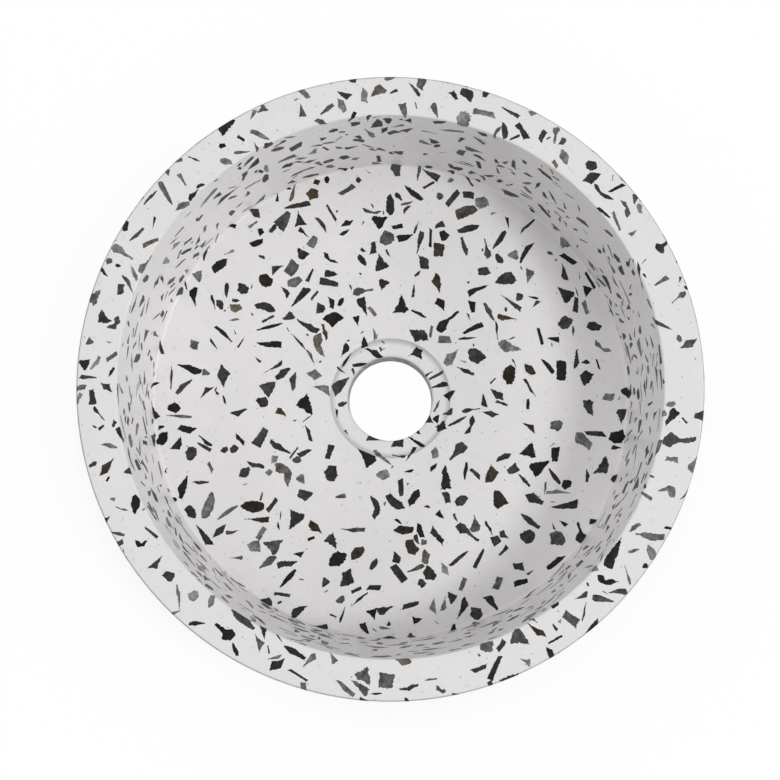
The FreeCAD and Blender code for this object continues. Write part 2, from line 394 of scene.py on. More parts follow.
class BasinStage(bpy.types.PropertyGroup):
    """Camera and light."""

    camera_tilt: FloatProperty(
        name="Camera Tilt", description="Lean of the view from straight down",
        default=math.radians(5.835), unit="ROTATION",
    )
    camera_place: FloatVectorProperty(
        name="Camera Place", description="Where the camera stands",
        default=(-0.0002, -0.0599, 0.6582), subtype="TRANSLATION", unit="LENGTH",
    )
    lens_mm: FloatProperty(
        name="Lens", description="Focal length in millimetres on a 36 mm sensor", default=54.87
    )
    lamp_level: FloatProperty(
        name="Lamp Level", description="Brightness of the lamps over their usual brightness", default=1.0
    )
    horizon: FloatProperty(
        name="Horizon", description="Even light from low down all round, where one is a plain level",
        default=0.39,
    )


class Wire:
    """An output of a node. Arithmetic on it adds Math nodes to its tree."""

    def __init__(self, tree, socket=None):
        self.tree = tree
        self.socket = socket

    def node(self, kind, settings=None, inputs=None, output=0):
        """Adds a node, makes its settings, fills its inputs and returns one of its outputs."""
        made = self.tree.nodes.new(kind)
        for name, value in (settings or {}).items():
            if name == "stops":
                self.set_stops(made.color_ramp, value)
            else:
                setattr(made, name, value)
        for name, value in (inputs or {}).items():
            if isinstance(value, Wire):
                self.tree.links.new(value.socket, made.inputs[name])
            else:
                made.inputs[name].default_value = value
        return Wire(self.tree, made.outputs[output])

    @staticmethod
    def set_stops(ramp, stops):
        """Gives a ramp its stops, as pairs of place and grey level."""
        while len(ramp.elements) < len(stops):
            ramp.elements.new(1)
        for element, (place, level) in zip(ramp.elements, stops):
            element.position = place
            element.color = (level, level, level, 1)

    def other(self, name):
        """Another output of the same node."""
        return Wire(self.tree, self.socket.node.outputs[name])

    def noise(self, place, scale, detail, output=0):
        """A cloudy pattern with so many grains on a metre and so many finer layers."""
        inputs = {"Vector": place, "Scale": scale, "Detail": detail}
        return self.node("ShaderNodeTexNoise", None, inputs, output)

    def cells(self, place, scale):
        """Distance from the middle of the nearest of so many cells on a metre."""
        return self.node("ShaderNodeTexVoronoi", None, {"Vector": place, "Scale": scale}, "Distance")

    def ramp(self, stops):
        """This value looked up in a ramp of pairs of place and grey level."""
        return self.node("ShaderNodeValToRGB", {"stops": stops}, {"Fac": self})

    def maths(self, operation, first, second):
        """A Math node on two values, either of which may be a plain number."""
        return self.node("ShaderNodeMath", {"operation": operation}, {0: first, 1: second})

    def __add__(self, other):
        return self.maths("ADD", self, other)

    def __radd__(self, other):
        return self.maths("ADD", other, self)

    def __sub__(self, other):
        return self.maths("SUBTRACT", self, other)

    def __rsub__(self, other):
        return self.maths("SUBTRACT", other, self)

    def __mul__(self, other):
        return self.maths("MULTIPLY", self, other)

    def __rmul__(self, other):
        return self.maths("MULTIPLY", other, self)

    def __lt__(self, other):
        return self.maths("LESS_THAN", self, other)

    def __gt__(self, other):
        return self.maths("GREATER_THAN", self, other)

    def blend(self, first, second, how="MIX"):
        """Two colours mixed by this value."""
        settings = {"data_type": "RGBA", "blend_type": how}
        return self.node("ShaderNodeMix", settings, {0: self, 6: first, 7: second}, 2)

    def swing(self, reach):
        """A pattern's rise and fall about its middle."""
        return (self - PATTERN_MIDDLE) * reach

    def darkened(self, mask, share):
        """This value, less a share of it where the mask is one."""
        return self * (1.0 - mask * share)

    def tint(self, colour):
        """A colour made brighter or darker by this value."""
        return self.node("ShaderNodeVectorMath", {"operation": "SCALE"}, {0: colour, "Scale": self})


def new_material(name):
    """An empty node material, with a start for its wires and its surface's socket."""
    material = bpy.data.materials.new(name)
    material.use_nodes = True
    tree = material.node_tree
    tree.nodes.clear()
    out = tree.nodes.new("ShaderNodeOutputMaterial")
    return material, Wire(tree), out.inputs["Surface"]


def reach_and_height(start, place):
    """Distance from the drain's axis and height above the foot, as wires."""
    across = start.node("ShaderNodeSeparateXYZ", None, {"Vector": place})
    along = across.other("Y")
    reach = start.node("ShaderNodeMath", {"operation": "SQRT"}, {0: across * across + along * along})
    return reach, across.other("Z")


def raw_shaded_places(start, reach, height, sizes):
    """One in the drain and under the foot, where the cement is left rough from the mould and painted darker
    as shade.
    """
    in_drain = (reach < sizes.drain_radius + RAW_EDGE) * (height < sizes.seat_height - sizes.drain_round)
    recess = sizes.drain_radius + sizes.recess_width
    in_recess = (reach < recess + RAW_EDGE) * (height < sizes.recess_depth + RAW_EDGE)
    underneath = start.maths("MAXIMUM", in_recess, height < RAW_EDGE)
    return start.maths("MAXIMUM", in_drain, underneath)


def step_shade_mask(start, reach, height, sizes):
    """One on the step around the seat, where shade is painted, fading out on the ledge."""
    top = sizes.drain_radius + sizes.seat_width
    inputs = {"Value": reach, "From Min": top - STEP_SHADE_START, "From Max": top - STEP_SHADE_FULL}
    fade = start.node("ShaderNodeMapRange", None, inputs)
    return fade * (reach < top - STEP_SHADE_END) * (height > sizes.seat_height - RAW_EDGE)


def edge_shade_mask(reach, height, sizes):
    """One along the outer edge of the rim, where shade is painted and the finish is rougher."""
    outside = reach > sizes.rim_diameter / 2 - EDGE_SHADE_WIDTH
    return outside * (height > sizes.height - EDGE_SHADE_WIDTH)


def buried_chips(start, place):
    """One in the middle of each chip that lies just under the surface, fading outwards."""
    waver = start.noise(place, *GHOST_WAVER, "Color")
    inputs = {0: waver, 1: GHOST_WAVER_REACH, 2: place}
    shifted = start.node("ShaderNodeVectorMath", {"operation": "MULTIPLY_ADD"}, inputs)
    depth = start.cells(shifted, GHOST_CELLS)
    return depth.ramp(GHOST_FADE) * (depth.other("Color") > GHOST_NONE)


def ground_surface(start, surface, colour, rough, gloss, relief, bump):
    """Joins the colour, roughness and relief of a ground face in its shader."""
    strength, depth = bump
    inputs = {"Strength": strength, "Distance": depth, "Height": relief}
    normal = start.node("ShaderNodeBump", None, inputs, "Normal")
    inputs = {"Base Color": colour, "Roughness": rough, "Specular IOR Level": gloss, "Normal": normal}
    shader = start.node("ShaderNodeBsdfPrincipled", None, inputs)
    start.tree.links.new(shader.socket, surface)


def cement_finish(looks, sizes):
    """White cement, ground and sealed: faint clouds, sand, pinholes and chips that just show, and painted
    shade in the drain, under the foot, on the seat's step, on the rim's flat and along its outer edge.
    """
    material, start, surface = new_material("white_cement")
    place = start.node("ShaderNodeTexCoord", output="Object")
    reach, height = reach_and_height(start, place)
    raw_shaded = raw_shaded_places(start, reach, height, sizes)
    step_shade = step_shade_mask(start, reach, height, sizes)
    worn = edge_shade_mask(reach, height, sizes)
    cloud = start.noise(place, *CEMENT_CLOUDS)
    patch = start.noise(place, *CEMENT_PATCHES)
    sand = start.noise(place, *CEMENT_SAND)
    hole = start.cells(place, PINHOLE_CELLS)
    pinhole = (hole < PINHOLE_REACH) * (hole.other("Color") > PINHOLE_NONE)
    ghost = buried_chips(start, place)
    level = 1.0 + cloud.swing(CLOUD_TONE) + patch.swing(PATCH_TONE) + sand.swing(SAND_TONE)
    # Pinholes and buried chips darken the cement, and painted shade darkens the drain and the underside
    level = level.darkened(pinhole, PINHOLE_DARK).darkened(ghost, GHOST_DARK).darkened(raw_shaded, RAW_SHADE)
    # Painted shade along the rim's outer edge, made patchy, and on the step around the seat
    level = level.darkened(worn, EDGE_SHADE_DARK + patch * EDGE_SHADE_PATCHY).darkened(step_shade, STEP_SHADE_DARK)
    # Painted shade on the flat top of the rim
    level = level.darkened(height > sizes.height - RIM_FLAT, RIM_SHADE)
    rough = CEMENT_ROUGH + patch.swing(PATCH_ROUGH) + pinhole * PINHOLE_ROUGH
    rough = rough + raw_shaded * RAW_ROUGH + worn * EDGE_ROUGH + step_shade * STEP_ROUGH
    relief = sand * SAND_RELIEF + patch * PATCH_RELIEF - pinhole * PINHOLE_RELIEF
    ground_surface(start, surface, level.tint(looks.cement), rough, CEMENT_GLOSS, relief, CEMENT_BUMP)
    return material


def stone_finish(name, colour):
    """Ground stone: each chip has its own brightness and cast, with cloudy bands, grain and pale flecks."""
    material, start, surface = new_material(name)
    place = start.node("ShaderNodeTexCoord", output="Object")
    tone = start.node("ShaderNodeAttribute", {"attribute_name": "tone"}, None, "Fac")
    warm = start.node("ShaderNodeAttribute", {"attribute_name": "warm"}, None, "Fac")
    grain = start.noise(place, *STONE_GRAIN)
    band = start.noise(place, *STONE_CLOUDS).ramp(STONE_BANDS)
    fleck = start.cells(place, FLECK_CELLS) < FLECK_REACH
    level = tone * band * (1.0 + grain.swing(GRAIN_TONE) + fleck * FLECK_TONE)
    tinted = warm.blend(level.tint(colour), WARM, "MULTIPLY")
    rough = STONE_ROUGH + grain.swing(GRAIN_ROUGH)
    ground_surface(start, surface, tinted, rough, STONE_GLOSS, grain, STONE_BUMP)
    return material


class Section:
    """The basin's half section as a closed line of short sides, measured along its length."""

    def __init__(self, sizes):
        self.corners = self.corner_list(sizes)
        self.sharp = {name: Vector(place) for name, place, _ in self.corners}
        self.points = []
        self.middles = {}
        self.lasts = {}
        for i, (name, _, _) in enumerate(self.corners):
            arc = self.corner_arc(i)
            self.middles[name] = len(self.points) + len(arc) // 2
            self.points += arc
            self.lasts[name] = len(self.points) - 1
        self.reach = [0.0]
        for first, second in zip(self.points, self.points[1:] + self.points[:1]):
            self.reach.append(self.reach[-1] + math.dist(first[:2], second[:2]))
        self.length = self.reach[-1]

    @staticmethod
    def corner_list(sizes):
        """Each corner's name, place as radius and height, and rounding, in order around the cement."""
        rim = sizes.rim_diameter / 2
        bowl = rim - sizes.rim_width
        floor = bowl - sizes.bowl_depth * math.tan(sizes.wall_draft)
        floor_height = sizes.height - sizes.bowl_depth
        seat = sizes.drain_radius + sizes.seat_width
        recess = sizes.drain_radius + sizes.recess_width
        foot = rim - sizes.height * math.tan(sizes.side_draft)
        seat_top = sizes.seat_height + sizes.seat_depth
        return (
            ("foot_inner", (recess, 0.0), sizes.foot_round),
            ("foot_outer", (foot, 0.0), sizes.foot_round),
            ("rim_outer", (rim, sizes.height), sizes.rim_outer_round),
            ("rim_inner", (bowl, sizes.height), sizes.rim_inner_round),
            ("floor_outer", (floor, floor_height), sizes.floor_round),
            ("seat_edge", (seat, seat_top), sizes.seat_round),
            ("seat_corner", (seat - sizes.seat_lean, sizes.seat_height), sizes.seat_hollow),
            ("drain_top", (sizes.drain_radius, sizes.seat_height), sizes.drain_round),
            ("drain_foot", (sizes.drain_radius, sizes.recess_depth), sizes.hidden_round),
            ("recess_roof", (recess, sizes.recess_depth), sizes.hidden_round),
        )

    def corner_arc(self, index):
        """Points of the arc that rounds one corner, each with the outward direction there."""
        count = len(self.corners)
        corner = Vector(self.corners[index][1])
        back = (Vector(self.corners[index - 1][1]) - corner).normalized()
        onward = (Vector(self.corners[(index + 1) % count][1]) - corner).normalized()
        half = back.angle(onward) / 2
        radius = self.corners[index][2]
        centre = corner + (back + onward).normalized() * (radius / math.sin(half))
        start = corner + back * (radius / math.tan(half))
        normal = Vector((-back.y, back.x))
        bulge = 1 if (start - centre).dot(normal) > 0 else -1
        turn = bulge * (math.pi - 2 * half)
        steps = max(ARC_STEPS_LEAST, math.ceil(abs(turn) / ARC_STEP))
        arc = []
        for step in range(steps + 1):
            angle = turn * step / steps
            cosine, sine = math.cos(angle), math.sin(angle)
            out = Vector((normal.x * cosine - normal.y * sine, normal.x * sine + normal.y * cosine))
            point = centre + out * (radius * bulge)
            arc.append((point.x, point.y, out.x, out.y))
        return arc

    def at(self, along):
        """Radius, height and outward direction at a distance along the section."""
        along %= self.length
        side = min(bisect.bisect_right(self.reach, along), len(self.points)) - 1
        share = (along - self.reach[side]) / max(self.reach[side + 1] - self.reach[side], LEAST_SIDE)
        first = self.points[side]
        second = self.points[(side + 1) % len(self.points)]
        return [a + (b - a) * share for a, b in zip(first, second)]

    def spot(self, along, turn, lift=0.0):
        """A point of the casting's surface, raised by a little, and the outward direction there."""
        radius, height, out, up = self.at(along)
        normal = Vector((out * math.cos(turn), out * math.sin(turn), up)).normalized()
        return Vector((radius * math.cos(turn), radius * math.sin(turn), height)) + normal * lift, normal

    def breaks(self, low, high):
        """Distances between two others at which the section changes direction."""
        found = []
        for base in (-self.length, 0.0, self.length):
            found += [base + reach for reach in self.reach[:-1] if low < base + reach < high]
        return found

    def nearest(self, radius, height, start, end):
        """Distance along the straight side between two corners, and how far off it a point is."""
        corner = self.sharp[start]
        way = (self.sharp[end] - corner).normalized()
        offset = Vector((radius, height)) - corner
        last = self.lasts[start]
        base = self.reach[last] - (Vector(self.points[last][:2]) - corner).dot(way)
        return base + offset.dot(way), abs(offset.x * way.y - offset.y * way.x)


def finish_piece(name, mesh, material, nodes=()):
    """Links a mesh as a piece of the basin that stands for some nodes of the part."""
    mesh.materials.clear()
    mesh.materials.append(material)
    piece = bpy.data.objects.new(name, mesh)
    bpy.context.scene.collection.objects.link(piece)
    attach(piece, BODY)
    if nodes:
        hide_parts(*nodes)
    return piece


def turn_mesh(section):
    """The section turned about the drain's axis, shaded by its true outward directions."""
    count = len(section.points)
    turns = [FULL_TURN * step / TURN_STEPS for step in range(TURN_STEPS)]
    places = []
    directions = []
    for turn in turns:
        cosine, sine = math.cos(turn), math.sin(turn)
        for radius, height, out, up in section.points:
            places.append((radius * cosine, radius * sine, height))
            directions.append((out * cosine, out * sine, up))
    faces = []
    for step in range(TURN_STEPS):
        here = step * count
        after = (step + 1) % TURN_STEPS * count
        for i in range(count):
            up = (i + 1) % count
            faces.append((here + i, after + i, after + up, here + up))
    mesh = bpy.data.meshes.new("cement_casting")
    mesh.from_pydata(places, [], faces)
    mesh.polygons.foreach_set("use_smooth", [True] * len(faces))
    mesh.normals_split_custom_set([directions[corner] for face in faces for corner in face])
    return mesh


class BASIN_OT_casting(bpy.types.Operator):
    """Makes the cement casting"""

    bl_idname = "basin.casting"
    bl_label = "Cement Casting"

    def execute(self, context):
        section = Section(context.scene.basin_sizes)
        mesh = turn_mesh(section)
        material = cement_finish(context.scene.basin_looks, context.scene.basin_sizes)
        finish_piece("cement_casting", mesh, material, ["cement_basin"])
        return {"FINISHED"}


def block_corners(rng):
    """A broken block: four to six corners at uneven angles."""
    draw = rng.uniform
    gaps = [draw(0.55, 1.45) for _ in range(rng.randint(4, 6))]
    corners = []
    angle = draw(0, FULL_TURN)
    for gap in gaps:
        angle += FULL_TURN * gap / sum(gaps)
        reach = draw(0.72, 1.0)
        corners.append((reach * math.cos(angle), reach * math.sin(angle)))
    return corners


def wedge_corners(rng):
    """A wedge: three corners, half of them broken off."""
    draw = rng.uniform
    tips = []
    for middle in (0.0, FULL_TURN / 3, FULL_TURN * 2 / 3):
        angle = middle + draw(-0.4, 0.4)
        tips.append((math.cos(angle), math.sin(angle)))
    corners = []
    for i, tip in enumerate(tips):
        if rng.random() < 0.5:
            corners.append(tip)
            continue
        for neighbour in (tips[i - 1], tips[(i + 1) % 3]):
            share = draw(0.08, 0.35)
            corners.append(tuple(a + (b - a) * share for a, b in zip(tip, neighbour)))
    return corners


def bar_corners(rng):
    """A bar that narrows to one end, with slanting ends."""
    draw = rng.uniform
    slant = draw(-0.25, 0.25)
    narrow = draw(0.4, 1.0)
    return [
        (-1 + slant, -1 + draw(-0.2, 0.2)),
        (1 + slant * draw(-1, 1), -narrow + draw(-0.2, 0.2)),
        (1 - slant, narrow + draw(-0.2, 0.2)),
        (-1 - slant * draw(-1, 1), 1 + draw(-0.2, 0.2)),
    ]


def splinter_corners(rng):
    """A splinter: one tip, one broken end and a belly on each side."""
    draw = rng.uniform
    tip = draw(-0.4, 0.4)
    end = draw(-0.4, 0.4)
    blunt = draw(0.25, 0.6)
    return [
        (-1, tip - draw(0.05, 0.2)),
        (draw(-0.2, 0.6), -draw(0.6, 1.0)),
        (draw(0.85, 1.0), end - blunt),
        (draw(0.85, 1.0), end + blunt),
        (draw(-0.4, 0.4), draw(0.4, 1.0)),
        (-1, tip + draw(0.05, 0.2)),
    ]


def tadpole_corners(rng):
    """A knob of stone that runs out in a thin tail."""
    draw = rng.uniform
    tail = draw(-0.5, 0.5)
    return [
        (-1, tail - 0.2),
        (draw(-0.2, 0.1), tail * 0.4 - draw(0.2, 0.4)),
        (draw(0.35, 0.6), -draw(0.7, 1.0)),
        (1, -draw(0.2, 0.7)),
        (draw(0.8, 1.0), draw(0.3, 0.7)),
        (draw(0.3, 0.6), draw(0.7, 1.0)),
        (draw(-0.3, 0.1), tail * 0.4 + draw(0.1, 0.35)),
        (-1, tail + 0.2),
    ]


def hook_corners(rng):
    """A hook: a bent shard with a bite out of one side."""
    draw = rng.uniform
    return [
        (-1, -draw(0.5, 0.9)),
        (-0.45 + draw(-0.15, 0.15), -draw(0.45, 0.7)),
        (draw(-0.2, 0.25), -draw(-0.1, 0.25)),
        (0.55 + draw(-0.15, 0.15), -draw(0.55, 0.9)),
        (1, -draw(0.2, 0.6)),
        (draw(0.4, 0.75), draw(0.55, 0.9)),
        (-draw(0.2, 0.7), draw(0.4, 0.9)),
    ]


FORM_MAKERS = {
    "block": block_corners,
    "wedge": wedge_corners,
    "bar": bar_corners,
    "splinter": splinter_corners,
    "tadpole": tadpole_corners,
    "hook": hook_corners,
}


def signed_area(outline):
    """Area inside an outline, below zero where it runs clockwise."""
    total = 0.0
    for (x, y), (next_x, next_y) in zip(outline, outline[1:] + outline[:1]):
        total += x * next_y - next_x * y
    return total / 2


def worn_outline(corners, width, least, most, rng):
    """A broken outline, counterclockwise: blunt corners, bent sides, ragged edges and a few nicks."""
    corners = [Vector(corner) for corner in corners]
    if signed_area([tuple(corner) for corner in corners]) < 0:
        corners.reverse()
    rough = ROUGH_EDGE if rng.random() < ROUGH_CHANCE else 1.0
    worn = []
    for corner, goal in zip(corners, corners[1:] + corners[:1]):
        way = goal - corner
        long = way.length
        blunt = min(BLUNT, BLUNT_SHARE * long)
        steps = max(1, round((long - 2 * blunt) / SIDE_STEP))
        outward = Vector((way.y, -way.x)).normalized()
        bend = rng.uniform(least, most) * min(long, 2 * width)
        for step in range(steps + 1):
            share = (blunt + (long - 2 * blunt) * step / steps) / long
            push = bend * 4 * share * (1 - share)
            if 0 < step < steps:
                push += rng.uniform(-RAGGED, RAGGED) * rough * width
                if rng.random() < NICK_CHANCE * rough:
                    push -= rng.uniform(0, NICK_DEPTH) * min(SIDE_STEP, width / 2)
            worn.append(tuple(corner + way * share + outward * push))
    return worn


def chip_outline(area, rng):
    """A chip of a given area, longest along the first axis."""
    gain = min(SLENDER_GAIN, (SLENDER_GRAIN / math.sqrt(area)) ** SLENDER_FALL)
    slender = SLENDER_MIDDLE * gain * math.exp(rng.gauss(0, SLENDER_SPREAD))
    slender = min(slender, SLENDER_MOST, CHIP_LENGTH_MOST**2 * CHIP_FULLNESS / area)
    slender = max(slender, 1.0)
    long = min(1.0, max(0.0, (slender - STUBBY) / (LONG - STUBBY)))
    weights = [stub + (slim - stub) * long for stub, slim, _, _ in CHIP_FORMS.values()]
    form = rng.choices(list(CHIP_FORMS), weights)[0]
    _, _, least, most = CHIP_FORMS[form]
    mirror = rng.choice((-1, 1))
    corners = [(x * slender, y * mirror) for x, y in FORM_MAKERS[form](rng)]
    scale = math.sqrt(area / abs(signed_area(corners)))
    corners = [(x * scale, y * scale) for x, y in corners]
    return worn_outline(corners, math.sqrt(area / slender), least, most, rng)


def turned_outline(outline, angle):
    """An outline turned in its plane."""
    cosine, sine = math.cos(angle), math.sin(angle)
    return [(x * cosine - y * sine, x * sine + y * cosine) for x, y in outline]


class Bed:
    """The casting's surface while chips are laid in it. Small balls along a chip keep its place."""

    def __init__(self, section):
        self.section = section
        self.cells = {}

    @staticmethod
    def cell(place):
        """The cell of the grid that a place is in."""
        return tuple(math.floor(value / GRID_CELL) for value in place)

    def balls(self, laid):
        """Balls that cover a laid outline: its middle, its corners' halfway points and its corners."""
        skip = math.ceil(len(laid) / BALL_CORNERS)
        places = [self.section.spot(along, turn)[0] for along, turn in laid[::skip]]
        middle = sum(places, Vector()) / len(places)
        wide = min((place - middle).length for place in places)
        covered = [(middle, wide)]
        for place in places:
            way = (place - middle).length
            inner = max(INNER_BALL_SIZE * way, INNER_BALL_LEAST * wide)
            covered.append((middle.lerp(place, INNER_BALLS), inner))
            covered.append((middle.lerp(place, OUTER_BALLS), OUTER_BALL_SIZE * way))
        return covered

    def free(self, balls):
        """Whether none of the balls touches one that is taken."""
        for place, radius in balls:
            x, y, z = self.cell(place)
            for i in (x - 1, x, x + 1):
                for j in (y - 1, y, y + 1):
                    for k in (z - 1, z, z + 1):
                        for other, extent in self.cells.get((i, j, k), ()):
                            if (place - other).length < radius + extent + CHIP_GAP:
                                return False
        return True

    def take(self, balls):
        """Keeps the place of the balls."""
        for place, radius in balls:
            self.cells.setdefault(self.cell(place), []).append((place, radius))

    def lay(self, along, turn, outline):
        """A flat outline laid on the casting about a point, as distances along the section and turns."""
        radius, _, _, up = self.section.at(along)
        slope = -up
        laid = []
        for u, v in outline:
            if abs(slope) > FLAT_SLOPE:
                inward = radius + u * slope
                reach = along + (math.hypot(inward, v) - radius) / slope
                laid.append((reach, turn + math.atan2(v, inward)))
            else:
                laid.append((along + u, turn + v / radius))
        return laid


class ChipMesh:
    """Faces of many chips that make one piece."""

    def __init__(self, section):
        self.section = section
        self.places = []
        self.faces = []
        self.normals = []
        self.tones = []
        self.casts = []

    def cut(self, laid):
        """Triangles of a laid outline, cut where the casting bends."""
        alongs = [along for along, _ in laid]
        turns = [turn for _, turn in laid]
        middle_along = sum(alongs) / len(alongs)
        middle_turn = sum(turns) / len(turns)
        radius, _, _, up = self.section.at(middle_along)
        flat = [Vector((along - middle_along, (turn - middle_turn) * radius)) for along, turn in laid]
        if signed_area([tuple(corner) for corner in flat]) < 0:
            flat.reverse()
        low = Vector((min(c.x for c in flat), min(c.y for c in flat)))
        high = Vector((max(c.x for c in flat), max(c.y for c in flat)))
        lines = []
        for reach in self.section.breaks(middle_along + low.x, middle_along + high.x):
            place = reach - middle_along
            lines.append(((place, low.y - CUT_MARGIN), (place, high.y + CUT_MARGIN)))
        if abs(up) < FLAT_SLOPE or lines:
            step = FULL_TURN / TURN_STEPS
            first = math.ceil((middle_turn + low.y / radius) / step)
            last = math.floor((middle_turn + high.y / radius) / step)
            for number in range(first, last + 1):
                place = (number * step - middle_turn) * radius
                lines.append(((low.x - CUT_MARGIN, place), (high.x + CUT_MARGIN, place)))
        ends = [Vector(end) for line in lines for end in line]
        # The cutting works on numbers near one, so lengths go in as millimetres
        scaled = [corner / MM for corner in flat + ends]
        edges = [(end, end + 1) for end in range(len(flat), len(scaled), 2)]
        found = delaunay_2d_cdt(scaled, edges, [list(range(len(flat)))], 1, CUT_NEARNESS)
        points = [(middle_along + p.x * MM, middle_turn + p.y * MM / radius) for p in found[0]]
        triangles = [face for face, source in zip(found[2], found[5]) if source]
        return points, triangles

    def add(self, laid, tones, rng):
        """Adds a chip as a thin closed solid whose ground face lies on the casting."""
        tone = rng.uniform(*tones)
        warm = rng.uniform(WARM_LEAST, 1.0) if rng.random() < WARM_CHANCE else 0.0
        points, triangles = self.cut(laid)
        if not triangles:
            return
        used = sorted({corner for triangle in triangles for corner in triangle})
        base = len(self.places)
        number = {}
        outward = {}
        for corner in used:
            place, normal = self.section.spot(*points[corner], CHIP_LIFT)
            number[corner] = len(self.places)
            outward[corner] = normal
            self.places.append(place)
            self.places.append(place - normal * CHIP_SINK)
        rim = {}
        for triangle in triangles:
            corners = [number[corner] for corner in triangle]
            a, b, c = (self.places[corner] for corner in corners)
            if (b - a).cross(c - a).dot(outward[triangle[0]]) < 0:
                corners.reverse()
                triangle = tuple(reversed(triangle))
            self.faces.append(tuple(corners))
            self.normals += [outward[corner] for corner in triangle]
            self.faces.append(tuple(corner + 1 for corner in reversed(corners)))
            self.normals += [Vector()] * 3
            for first, second in zip(corners, corners[1:] + corners[:1]):
                if (second, first) in rim:
                    del rim[(second, first)]
                else:
                    rim[(first, second)] = True
        for first, second in rim:
            self.faces.append((second, first, first + 1, second + 1))
            self.normals += [Vector()] * 4
        self.tones += [tone] * (len(self.places) - base)
        self.casts += [warm] * (len(self.places) - base)

    def mesh(self, name):
        """The chips as one mesh, with each chip's brightness and cast kept on its corners."""
        mesh = bpy.data.meshes.new(name)
        mesh.from_pydata(self.places, [], self.faces)
        mesh.normals_split_custom_set(self.normals)
        for attribute, values in (("tone", self.tones), ("warm", self.casts)):
            mesh.attributes.new(attribute, "FLOAT", "POINT").data.foreach_set("value", values)
        return mesh


def node_outlines(section, node, start, end, rng):
    """Worn outlines of the chips in a node of the part, as distances along the section and turns."""
    work = bmesh.new()
    work.from_mesh(frame["nodes"][node].data)
    bmesh.ops.remove_doubles(work, verts=work.verts, dist=MERGE_WITHIN)
    seen = set()
    hulls = []
    for vertex in work.verts:
        if vertex in seen:
            continue
        seen.add(vertex)
        chip = [vertex]
        for corner in chip:
            others = [edge.other_vert(corner) for edge in corner.link_edges]
            chip += [other for other in others if other not in seen]
            seen.update(others)
        ground = []
        for corner in chip:
            along, off = section.nearest(math.hypot(corner.co.x, corner.co.y), corner.co.z, start, end)
            if off < ON_FACE:
                ground.append((along, corner.co.x, corner.co.y))
        middle = math.atan2(sum(y for _, _, y in ground), sum(x for _, x, _ in ground))
        radius = math.hypot(ground[0][1], ground[0][2])
        flat = [
            (along, math.remainder(math.atan2(y, x) - middle, FULL_TURN) * radius) for along, x, y in ground
        ]
        hull = [flat[corner] for corner in convex_hull_2d(flat)]
        first = hull.index(min(hull))
        hulls.append((middle, radius, hull[first:] + hull[:first]))
    work.free()
    outlines = []
    for middle, radius, hull in sorted(hulls):
        width = math.sqrt(abs(signed_area(hull)) / 2)
        worn = worn_outline(hull, width, *COARSE_BEND, rng)
        outlines.append([(along, middle + across / radius) for along, across in worn])
    return outlines


class BASIN_OT_chips(bpy.types.Operator):
    """Beds the stone chips in the casting's faces"""

    bl_idname = "basin.chips"
    bl_label = "Stone Chips"

    def execute(self, context):
        looks = context.scene.basin_looks
        section = Section(context.scene.basin_sizes)
        bed = Bed(section)
        rng = random.Random(looks.seed)
        shades = random.Random(looks.seed)
        groups = {}
        self.bed_coarse(section, bed, groups, rng, shades)
        for face in CHIP_FACES:
            self.bed_fine(section, bed, groups, face, looks, rng, shades)
        for stone in STONE_TONES:
            material = stone_finish(f"{stone}_stone", getattr(looks, stone))
            for (group, kind), chips in groups.items():
                if kind != stone:
                    continue
                name = f"{group}_{stone}_stones"
                node = f"{group}_{stone}_chips"
                nodes = [node] if node in frame["nodes"] else []
                finish_piece(name, chips.mesh(name), material, nodes)
        return {"FINISHED"}

    @staticmethod
    def bed_coarse(section, bed, groups, rng, shades):
        """Takes the part's own chips first, where they lie."""
        for start, end, _, _, _, shares, group in CHIP_FACES:
            for stone in shares:
                node = f"{group}_{stone}_chips"
                if node not in frame["nodes"]:
                    continue
                chips = groups.setdefault((group, stone), ChipMesh(section))
                for laid in node_outlines(section, node, start, end, rng):
                    bed.take(bed.balls(laid))
                    chips.add(laid, STONE_TONES[stone], shades)

    @staticmethod
    def bed_fine(section, bed, groups, face, looks, rng, shades):
        """Fills one face with smaller chips, the largest first."""
        start, end, density, middle, spread, shares, group = face
        low = section.reach[section.middles[start]]
        high = section.reach[section.middles[end]]
        if high < low:
            high += section.length
        radii = [section.at(low + (high - low) * i / AREA_STEPS)[0] for i in range(AREA_STEPS + 1)]
        area = FULL_TURN * sum(radii) / len(radii) * (high - low)
        count = round(area / CM2 * density * looks.chip_density)
        grains = [min(GRAIN_MOST, max(GRAIN_LEAST, rng.gauss(middle, spread))) for _ in range(count)]
        for grain in sorted(grains, reverse=True):
            outline = chip_outline((grain * MM) ** 2, rng)
            for _ in range(PLACE_TRIES):
                along = rng.uniform(low, high)
                if rng.uniform(0, max(radii)) > section.at(along)[0]:
                    continue
                turned = turned_outline(outline, rng.uniform(0, FULL_TURN))
                laid = bed.lay(along, rng.uniform(0, FULL_TURN), turned)
                balls = bed.balls(laid)
                if bed.free(balls):
                    bed.take(balls)
                    stone = rng.choices(list(shares), list(shares.values()))[0]
                    chips = groups.setdefault((group, stone), ChipMesh(section))
                    chips.add(laid, STONE_TONES[stone], shades)
                    break


